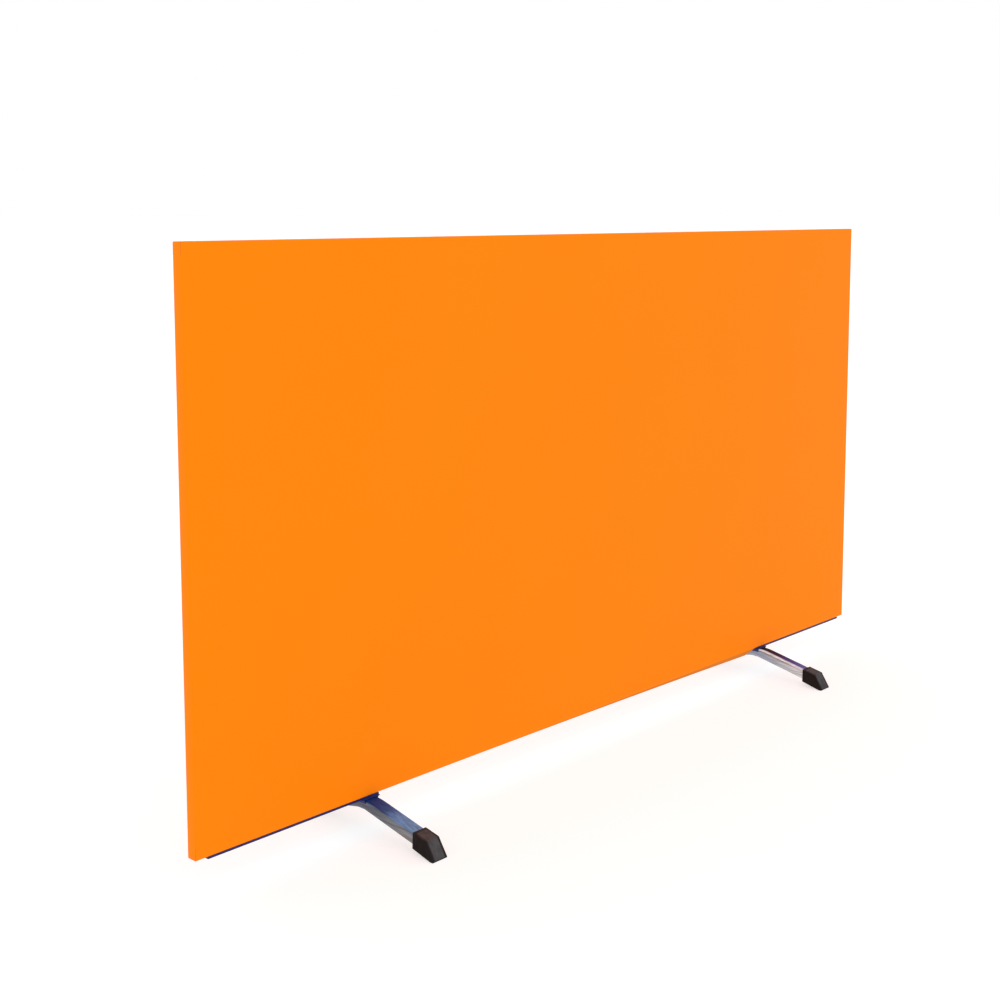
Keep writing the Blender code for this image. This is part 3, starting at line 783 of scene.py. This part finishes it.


# ==== Foot tubes ===============================================================================
# Rectangular steel tube pressed flat and bent at its crown, nickel-chrome plated.
# The plating is drawn along the tube. Its colour carries painted light: on top, a painted reflection,
# dark near the saddle and lighter out along the foot, smoky blue on the left foot and violet on the
# right one; on the sides, painted bands of reflection and painted shade near the pivot; a painted
# sheen that makes the right foot's sides far brighter; and a painted highlight along the inner edge
# of the right foot's top.

FOOT_SLOPE = math.tan(math.radians(12.1))
TUBE_RISE = 0.0266               # upright height of the sloping tube
DRAWN_STRETCH = (1.0, 0.035, 1.0)    # streaks run along Y
STREAK_SHARE = 0.8
TOP_DULLING = 0.15               # added roughness on top
PAINTED_LIGHT_FROM = 0.015               # the painted reflection on top and the painted shade on the sides change from here to there, out from the pivot
PAINTED_LIGHT_TO = 0.175
HIGHLIGHT_FROM = -0.0050             # across from the tube's middle, the painted highlight starts here
HIGHLIGHT_FULL = -0.0110             # and is full from here to its inner side
# Colour of the painted highlight along the inner edge of the top.
PAINTED_HIGHLIGHT_COLOR = (0.74, 0.90, 1.00, 1.0)
# Painted reflection colours on top of the left and right feet, from the pivot out.
SMOKY_TOP_REFLECTION = ((0.0, (0.000, 0.030, 0.160)), (0.30, (0.025, 0.085, 0.250)),
             (0.60, (0.120, 0.260, 0.530)), (1.0, (0.125, 0.260, 0.460)))
VIOLET_TOP_REFLECTION = ((0.0, (0.001, 0.001, 0.010)), (0.30, (0.006, 0.006, 0.060)),
              (0.60, (0.035, 0.042, 0.220)), (1.0, (0.090, 0.115, 0.420)))
# Side colours, darker near the pivot: painted shade.
SIDE_SHADE_STOPS = ((0.0, (0.160, 0.175, 0.220)), (0.30, (0.190, 0.195, 0.210)),
              (0.65, (0.240, 0.245, 0.260)), (1.0, (0.300, 0.305, 0.320)))
# Painted bands of reflection, from the tube's underside up to its top edge.
PAINTED_REFLECTION_BANDS = ((0.0, (0.9, 0.9, 0.9)), (0.32, (0.68, 0.67, 0.66)),
              (0.62, (0.85, 0.85, 0.85)), (0.92, (0.70, 0.70, 0.74)))


def color_ramp(tree, share, stops):
    """Color Ramp node's color, from (position, color) stops."""
    ramp = add_node(tree, "ShaderNodeValToRGB", {"Fac": share})
    for index, (position, color) in enumerate(stops):
        stop = ramp.color_ramp.elements[index] if index < 2 else ramp.color_ramp.elements.new(position)
        stop.position = position
        stop.color = (*color, 1.0)
    return ramp.outputs["Color"]


def make_chrome_plate(name, top_reflection_stops, sheen_gain, highlight_strength):
    """Chrome with painted light: reflection on top, bands, shade and sheen on the sides, a highlight on
    one edge.
    """
    material, tree, shader = new_material(name, (0.5, 0.52, 0.56), 0.2, specular=0.12)
    axes = object_axes(tree)
    reach = math_node(tree, "ABSOLUTE", axes["Y"])
    on_top = ramp_node(tree, upward_facing(tree), 0.15, 0.60)
    # Painted reflection on top, changing out from the pivot.
    along = ramp_node(tree, reach, PAINTED_LIGHT_FROM, PAINTED_LIGHT_TO)
    top_color = color_ramp(tree, along, top_reflection_stops)
    # Painted shade: the sides are darker near the pivot.
    side_color = color_ramp(tree, along, SIDE_SHADE_STOPS)
    # Painted bands of reflection up the tube's side.
    rise = math_node(tree, "ADD", axes["Z"], math_node(tree, "MULTIPLY", reach, FOOT_SLOPE))
    level = ramp_node(tree, rise, foot_underside, foot_underside + TUBE_RISE)
    band = color_ramp(tree, level, PAINTED_REFLECTION_BANDS)
    drawn = object_noise(tree, 260.0, 4.0, DRAWN_STRETCH)
    streaks = ramp_node(tree, drawn, 0.30, 0.72, low=0.62, high=1.25)
    # Painted sheen: the side colours are scaled by the sheen gain, far brighter on the right foot.
    painted_sheen = (sheen_gain, sheen_gain, sheen_gain, 1)
    side_with_painted_bands = mix_colors(tree, 1.0, side_color, band, "MULTIPLY")
    shaded = mix_colors(tree, 1.0, side_with_painted_bands, painted_sheen, "MULTIPLY")
    # Painted highlight along the inner edge of the top.
    across = math_node(tree, "SUBTRACT", math_node(tree, "ABSOLUTE", axes["X"]), leg_middle)
    edge_highlight_mask = ramp_node(tree, across, HIGHLIGHT_FROM, HIGHLIGHT_FULL, high=highlight_strength)
    top_color = mix_colors(tree, edge_highlight_mask, top_color, PAINTED_HIGHLIGHT_COLOR)
    both = mix_colors(tree, on_top, shaded, top_color)
    streak_grey = add_node(tree, "ShaderNodeCombineColor", {0: streaks, 1: streaks, 2: streaks})
    streaked = mix_colors(tree, STREAK_SHARE, both, streak_grey.outputs[0], "MULTIPLY")
    tree.links.new(streaked, shader["Base Color"])
    tree.links.new(ramp_node(tree, on_top, 0.0, 1.0, low=0.85, high=0.0), shader["Metallic"])
    blotched = ramp_node(tree, object_noise(tree, 40.0, 4.0), 0.3, 0.7, low=0.18, high=0.28)
    duller_top = math_node(tree, "MULTIPLY", on_top, TOP_DULLING)
    tree.links.new(math_node(tree, "ADD", blotched, duller_top), shader["Roughness"])
    add_bump(tree, shader, drawn, depth=0.000015)
    return material


leg_low, leg_high = box_corners("right_foot_leg")
leg_middle = (leg_low.x + leg_high.x) / 2
foot_underside = leg_low.z + FOOT_SLOPE * leg_high.y
# The right foot gets a darker painted reflection on top, a bright painted sheen on its sides and the
# painted edge highlight.
left_chrome_with_painted_reflection = make_chrome_plate("smoky_chrome_plate", SMOKY_TOP_REFLECTION, sheen_gain=0.95, highlight_strength=0.0)
right_chrome_with_painted_reflection = make_chrome_plate("bright_chrome_plate", VIOLET_TOP_REFLECTION, sheen_gain=2.3, highlight_strength=0.9)
give_material(left_chrome_with_painted_reflection, "left_foot_leg")
give_material(right_chrome_with_painted_reflection, "right_foot_leg")


# ==== Rubber shoes =============================================================================
# Moulded black rubber wedges pushed on the ends of the feet, standing on their toes.
# Matt, and lighter grey on the faces that look up, partly dust and partly painted light from above,
# but still black along the edges.

DARK_EDGE = 0.0060               # width of black along the shoe's long edges and its mouth, outside the lighter tone on top

shoe_low, shoe_high = box_corners("right_rear_shoe")
shoe_middle = (shoe_low.x + shoe_high.x) / 2
shoe_half_width = (shoe_high.x - shoe_low.x) / 2
shoe_mouth = shoe_low.y


def make_black_rubber():
    black, grey = (0.007, 0.004, 0.004, 1), (0.074, 0.069, 0.073, 1)
    material, tree, shader = new_material("black_rubber", black[:3], 0.62, specular=0.12)
    grain = add_group(tree, fine_grain, grains_per_metre=1100.0, patches_per_metre=45.0)
    dusty = add_group(tree, settled_dust, amount=0.40, patches_per_metre=70.0)["Mask"]
    rubbed = add_group(tree, scuffs, amount=0.35, scratches_per_metre=110.0)["Mask"]
    # Lighter grey on faces that look up, away from the edges: partly dust, partly painted light from
    # above.
    sloping = ramp_node(tree, upward_facing(tree), 0.15, 0.50)
    axes = object_axes(tree)
    off_middle = math_node(tree, "SUBTRACT", math_node(tree, "ABSOLUTE", axes["X"]), shoe_middle)
    sideways = math_node(tree, "ABSOLUTE", off_middle)
    edge = shoe_half_width - DARK_EDGE
    inside = ramp_node(tree, sideways, edge - DARK_EDGE / 2, edge + DARK_EDGE / 4, low=1.0, high=0.0)
    past_mouth = math_node(tree, "SUBTRACT", math_node(tree, "ABSOLUTE", axes["Y"]), shoe_mouth)
    off_mouth = ramp_node(tree, past_mouth, DARK_EDGE * 0.75, DARK_EDGE * 1.5)
    patchy = ramp_node(tree, grain["Patches"], 0.30, 0.65, low=0.55)
    dust_and_painted_light = math_node(tree, "MULTIPLY", math_node(tree, "MULTIPLY", inside, off_mouth), sloping)
    dust_and_painted_light = math_node(tree, "MULTIPLY", dust_and_painted_light, patchy)
    greyed = math_node(tree, "MAXIMUM", math_node(tree, "MAXIMUM", dusty, rubbed), dust_and_painted_light)
    tree.links.new(mix_colors(tree, greyed, black, grey), shader["Base Color"])
    rough = ramp_node(tree, grain["Patches"], 0.3, 0.7, low=0.55, high=0.75)
    tree.links.new(rough, shader["Roughness"])
    add_bump(tree, shader, grain["Height"], depth=0.00010)
    return material


black_rubber = make_black_rubber()
give_material(black_rubber, *(f"{side}_{end}_shoe" for side in SIDES for end in ("front", "rear")))


# ==== Pivot bolts, washers and lock nuts =======================================================
# A zinc-plated cup-head bolt comes up through each foot's crown and the bottom rail; a washer and
# a lock nut with a nylon collar sit on the rail, and slacken to let the foot turn.

TURN_SIDES = 48                  # a multiple of 6, for the nut
SHANK_RADIUS = 0.0050
BORE_RADIUS = SHANK_RADIUS + 0.0003
CUP_HEIGHT = 0.0045
CUP_STEPS = 7
THREAD_PITCH = 0.0012
THREAD_DEPTH = 0.0004
THREAD_START_TURNS = 2           # below the top of the nut
TIP_CHAMFER = 0.0006
WASHER_EDGE = 0.0003
NUT_CHAMFER = 0.0011
NUT_CORNER_SHARE = 0.93          # of the hexagon's corner radius, where its faces are turned off
NUT_FACE_SHARE = 0.96            # of half its width, on the face that sits on the washer
HEXAGON_SHARE = 0.70             # of the nut's height; its collar takes the rest
COLLAR_SHARE = 0.86              # of half the nut's width
COLLAR_WALL = 0.0009
NYLON_LIP = 0.0003               # from one step of the nylon's rounded top to the next


def pivot_bolt_rings(low, high, thread_start):
    """Cup head below, plain shank through the foot and the rail, and thread at the top."""
    head_radius = (high.x - low.x) / 2
    seat = low.z + CUP_HEIGHT
    angles = [math.pi / 2 * (step + 1) / CUP_STEPS for step in range(CUP_STEPS)]
    profile = [(head_radius * math.sin(a), seat - CUP_HEIGHT * math.cos(a)) for a in angles]
    profile += [(SHANK_RADIUS, seat), (SHANK_RADIUS, thread_start)]
    root_radius = SHANK_RADIUS - THREAD_DEPTH
    ridges = int((high.z - TIP_CHAMFER - thread_start) / THREAD_PITCH)
    for ridge in range(ridges):
        z = thread_start + ridge * THREAD_PITCH
        profile += [(root_radius, z + THREAD_PITCH / 2), (SHANK_RADIUS, z + THREAD_PITCH)]
    profile.append((root_radius, high.z))
    return turned_rings(profile, TURN_SIDES)


def washer_rings(low, high):
    """Flat ring with bevelled outer edges."""
    outer = (high.x - low.x) / 2
    profile = [(BORE_RADIUS, low.z), (outer - WASHER_EDGE, low.z), (outer, low.z + WASHER_EDGE),
               (outer, high.z - WASHER_EDGE), (outer - WASHER_EDGE, high.z), (BORE_RADIUS, high.z)]
    return turned_rings(profile, TURN_SIDES)


def nut_flat_radius(low, high):
    """Half the nut's width across its flats."""
    return min(high.x - low.x, high.y - low.y) / 2


def hexagon_ring(flat_radius, most, z):
    """A hexagon whose corners are turned off at the radius given by most."""
    ring = []
    for side in range(TURN_SIDES):
        angle = 2 * math.pi * side / TURN_SIDES
        off_flat = angle % (math.pi / 3) - math.pi / 6
        radius = min(flat_radius / math.cos(off_flat), most)
        ring.append((radius * math.cos(angle), radius * math.sin(angle), z))
    return ring


def lock_nut_rings(low, high):
    """Hexagon with turned-off corners, drawn in above to a round collar that holds the nylon."""
    flat_radius = nut_flat_radius(low, high)
    corner_radius = flat_radius / math.cos(math.pi / 6)
    turned_off = corner_radius * NUT_CORNER_SHARE
    shoulder = low.z + (high.z - low.z) * HEXAGON_SHARE
    rings = turned_rings([(BORE_RADIUS, low.z), (flat_radius * NUT_FACE_SHARE, low.z)], TURN_SIDES)
    rings.append(hexagon_ring(flat_radius, turned_off, low.z + NUT_CHAMFER / 4))
    rings.append(hexagon_ring(flat_radius, corner_radius, low.z + NUT_CHAMFER))
    rings.append(hexagon_ring(flat_radius, corner_radius, shoulder - NUT_CHAMFER))
    rings.append(hexagon_ring(flat_radius, turned_off, shoulder - NUT_CHAMFER / 4))
    collar = flat_radius * COLLAR_SHARE
    collar_rings = [(collar + COLLAR_WALL / 2, shoulder), (collar, shoulder + COLLAR_WALL / 2)]
    rolled_lip = ((0.0, 1.0), (0.4, 0.2), (1.0, 0.0), (1.6, 0.5), (1.0, 1.4))
    for inward, down in rolled_lip:
        collar_rings.append((collar - COLLAR_WALL * inward, high.z - COLLAR_WALL * down))
    collar_rings.append((BORE_RADIUS, high.z - COLLAR_WALL * 1.6))
    return rings + turned_rings(collar_rings, TURN_SIDES)


def nylon_rings(low, high):
    """The nylon ring inside the collar, rounded on top."""
    outer = nut_flat_radius(low, high) * COLLAR_SHARE - COLLAR_WALL * 1.7
    bottom = high.z - COLLAR_WALL * 1.5
    edge = high.z - NYLON_LIP * 2
    profile = [(BORE_RADIUS, bottom), (outer, bottom), (outer, edge),
               ((outer + BORE_RADIUS) / 2, high.z - NYLON_LIP), (BORE_RADIUS, edge)]
    return turned_rings(profile, TURN_SIDES)


def make_natural_nylon():
    white, worn = (0.62, 0.60, 0.54, 1), (0.40, 0.37, 0.31, 1)
    material, tree, shader = new_material("natural_nylon", white[:3], 0.45)
    grain = add_group(tree, fine_grain, grains_per_metre=1800.0, patches_per_metre=300.0)
    tree.links.new(mix_colors(tree, grain["Patches"], white, worn), shader["Base Color"])
    add_bump(tree, shader, grain["Height"], depth=0.00005)
    return material


def add_pivot_piece(name, rings, middle, material, replaced=None, closed=True):
    """Rings about Z moved to the pivot, as a finished piece of the screen."""
    placed = [[(x + middle, y, z) for x, y, z in ring] for ring in rings]
    piece = new_object(name, loft_mesh(name, placed, closed=closed))
    piece.data.materials.append(material)
    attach(piece, "screen")
    if replaced:
        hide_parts(replaced)


natural_nylon = make_natural_nylon()
for side in SIDES:
    bolt_low, bolt_high = box_corners(f"{side}_pivot_bolt")
    washer_low, washer_high = box_corners(f"{side}_pivot_washer")
    nut_low, nut_high = box_corners(f"{side}_pivot_nut")
    middle = (bolt_low.x + bolt_high.x) / 2
    thread_start = nut_high.z - THREAD_START_TURNS * THREAD_PITCH
    bolt_rings = pivot_bolt_rings(bolt_low, bolt_high, thread_start)
    add_pivot_piece(f"{side}_cup_bolt", bolt_rings, middle, zinc_steel,
                    f"{side}_pivot_bolt", closed=False)
    add_pivot_piece(f"{side}_flat_washer", washer_rings(washer_low, washer_high), middle, zinc_steel,
                    f"{side}_pivot_washer")
    add_pivot_piece(f"{side}_lock_nut", lock_nut_rings(nut_low, nut_high), middle, zinc_steel,
                    f"{side}_pivot_nut")
    add_pivot_piece(f"{side}_nut_nylon", nylon_rings(nut_low, nut_high), middle, natural_nylon)


# ==== Floor, light and camera ==================================================================
# A plain pale studio floor under an even white sky, with one broad soft lamp from the front left.

FLOOR_SIZE = 400.0
FLOOR_GLOW = 0.62                # keeps the floor pale where the screen shades it


def make_floor():
    """One large flat face, almost white and faintly mottled."""
    grey, pale = (0.45, 0.45, 0.45, 1), (0.47, 0.47, 0.47, 1)
    material, tree, shader = new_material("pale_floor", grey[:3], 0.8, specular=0.1)
    shader["Emission Color"].default_value = (1.0, 1.0, 1.0, 1.0)
    shader["Emission Strength"].default_value = FLOOR_GLOW
    mottled = object_noise(tree, 0.7, 3.0)
    tree.links.new(mix_colors(tree, mottled, grey, pale), shader["Base Color"])
    bm = bmesh.new()
    bmesh.ops.create_grid(bm, x_segments=4, y_segments=4, size=FLOOR_SIZE / 2)
    floor = new_object("floor", mesh_of(bm, "floor"))
    floor.data.materials.append(material)


def add_lamp(name, place, aim, size, watts):
    """A soft rectangular lamp of the given width and height, turned to face its aim."""
    light = bpy.data.lights.new(name, "AREA")
    light.shape = "RECTANGLE"
    light.size, light.size_y = size
    light.energy = watts
    lamp = new_object(name, light)
    lamp.location = place
    lamp.rotation_euler = (Vector(aim) - Vector(place)).to_track_quat("-Z", "Y").to_euler()


make_floor()
world = bpy.data.worlds.new("studio")
world.use_nodes = True
world.node_tree.nodes["Background"].inputs["Color"].default_value = (1.0, 1.0, 1.0, 1.0)
world.node_tree.nodes["Background"].inputs["Strength"].default_value = 1.0
bpy.context.scene.world = world
add_lamp("key_lamp", place=(-2.6, -4.2, 3.4), aim=(0.0, 0.0, 0.5), size=(4.0, 3.0), watts=22)
bpy.context.scene.view_settings.view_transform = "Standard"

lens = bpy.data.cameras.new("camera")
lens.lens = 53.33
lens.sensor_width = 36.0
lens.shift_x = -0.0094
lens.shift_y = -0.1237
camera = new_object("camera", lens)
camera.location = (-2.8407, -2.3731, 1.3610)
camera.rotation_euler = (math.radians(90 - 6.449), 0.0, math.radians(-46.902))
bpy.context.scene.camera = camera
